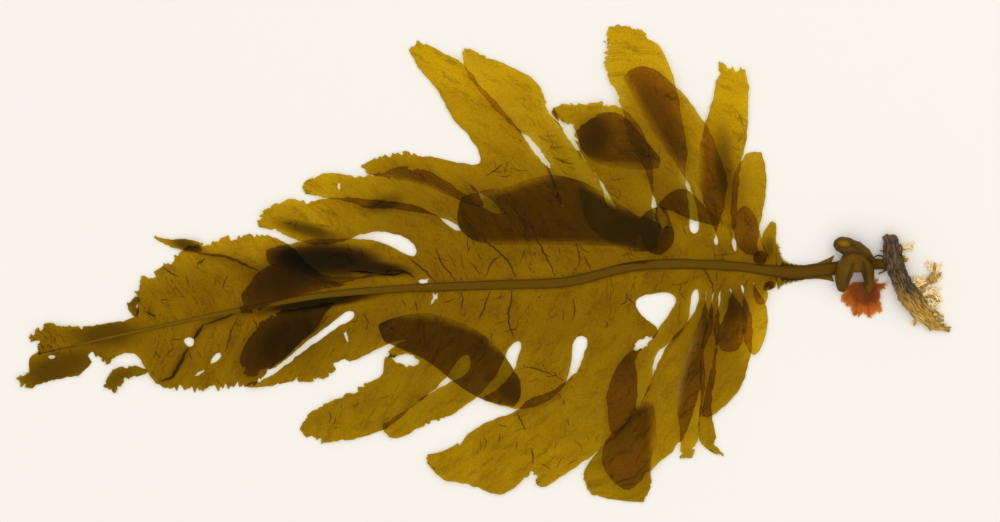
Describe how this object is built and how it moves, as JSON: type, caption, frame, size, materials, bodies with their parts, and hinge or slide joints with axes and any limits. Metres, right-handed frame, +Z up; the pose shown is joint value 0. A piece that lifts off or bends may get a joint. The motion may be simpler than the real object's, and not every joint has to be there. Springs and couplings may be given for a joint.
{
  "type": "kelp frond",
  "caption": "Whole young wakame kelp plant laid flat: lobed translucent blade on a midrib, stipe, folded sporophyll, and holdfast with haptera.",
  "frame": {"origin": "on the surface that the frond lies on, under the middle of its box", "axes": "+X from the blade's torn tip to the holdfast, +Y across the blade, +Z up"},
  "size_m": [0.4668, 0.2388, 0.0118],
  "materials": {
    "blade": "wet translucent golden olive sheet",
    "midrib": "wet smooth olive strap",
    "sporophyll": "wet glossy dark olive flesh",
    "holdfast": "gnarled and fibrous, dark brown with pale haptera",
    "red_alga": "thin wet red fronds"
  },
  "bodies": {
    "root": {"tucked_pleat_1": "blade", "tucked_pleat_2": "blade", "tucked_pleat_3": "blade", "tucked_pleat_4": "blade", "tucked_pleat_5": "blade", "torn_flap": "blade", "torn_flake": "blade", "blade_upper": "blade", "blade_lower": "blade", "stipe_and_midrib": "midrib", "upper_bud": "blade", "upper_lobe_2": "blade", "upper_lobe_1": "blade", "upper_curl": "blade", "upper_lobe_3": "blade", "upper_lobe_4": "blade", "upper_lobe_5": "blade", "upper_lobe_7": "blade", "upper_finger": "blade", "upper_lobe_6": "blade", "upper_lobe_9": "blade", "upper_lobe_8": "blade", "upper_lobe_11": "blade", "upper_lobe_10": "blade", "folded_flap_2": "blade", "folded_flap_1": "blade", "torn_shred": "blade", "lower_bud": "blade", "lower_lobe_4": "blade", "lower_lobe_2": "blade", "lower_lobe_1": "blade", "lower_curl": "blade", "lower_lobe_3": "blade", "lower_lobe_8": "blade", "lower_finger": "blade", "lower_lobe_6": "blade", "lower_lobe_5": "blade", "lower_lobe_7": "blade", "lower_lobe_11": "blade", "lower_lobe_10": "blade", "lower_lobe_9": "blade", "lower_lobe_12": "blade", "lower_lobe_13": "blade", "stipe_wing_upper": "blade", "stipe_wing_lower": "blade", "sporophyll": "sporophyll", "holdfast": "holdfast", "red_alga": "red_alga"}
  },
  "joints": []
}
